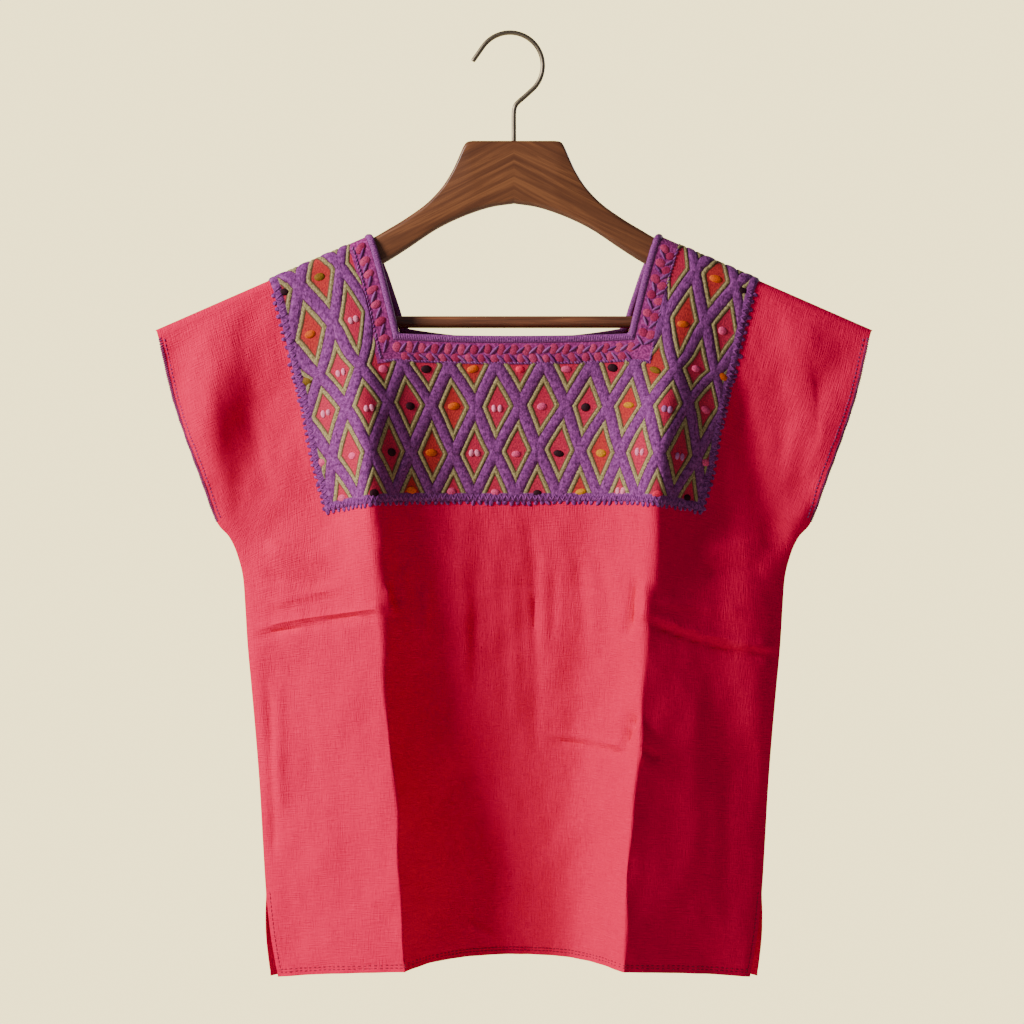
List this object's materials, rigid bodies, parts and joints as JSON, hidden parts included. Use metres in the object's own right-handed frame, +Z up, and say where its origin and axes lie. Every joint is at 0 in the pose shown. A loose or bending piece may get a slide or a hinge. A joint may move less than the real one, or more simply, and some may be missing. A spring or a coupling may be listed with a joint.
{
  "type": "blouse on hanger",
  "caption": "Short-sleeved square-necked cotton blouse with an embroidered lattice yoke, hanging flat on a wooden hanger with a wire hook and a trouser bar.",
  "frame": {"origin": "the underside of the hook's crown, where a rail carries the hanger", "axes": "+Z up, the blouse's front faces -Y, +X to the right of someone who looks at the front"},
  "size_m": [0.588, 0.096, 0.776],
  "materials": {
    "red_cotton": "woven, matt with a soft sheen",
    "purple_embroidery": "raised stitching",
    "looped_braid": "looped thread",
    "purple_binding": "ribbed",
    "hanger_walnut": "satin lacquer",
    "hanger_bar_wood": "satin lacquer",
    "hanger_steel": "drawn wire"
  },
  "bodies": {
    "root": {"front_panel": "red_cotton", "back_panel": "red_cotton", "yoke_front": "purple_embroidery", "yoke_back": "purple_embroidery", "neck_band": "looped_braid", "neck_binding": "purple_binding", "hanger_arm_left": "hanger_walnut", "hanger_arm_right": "hanger_walnut", "hanger_bar": "hanger_bar_wood", "hanger_hook": "hanger_steel"}
  },
  "joints": []
}
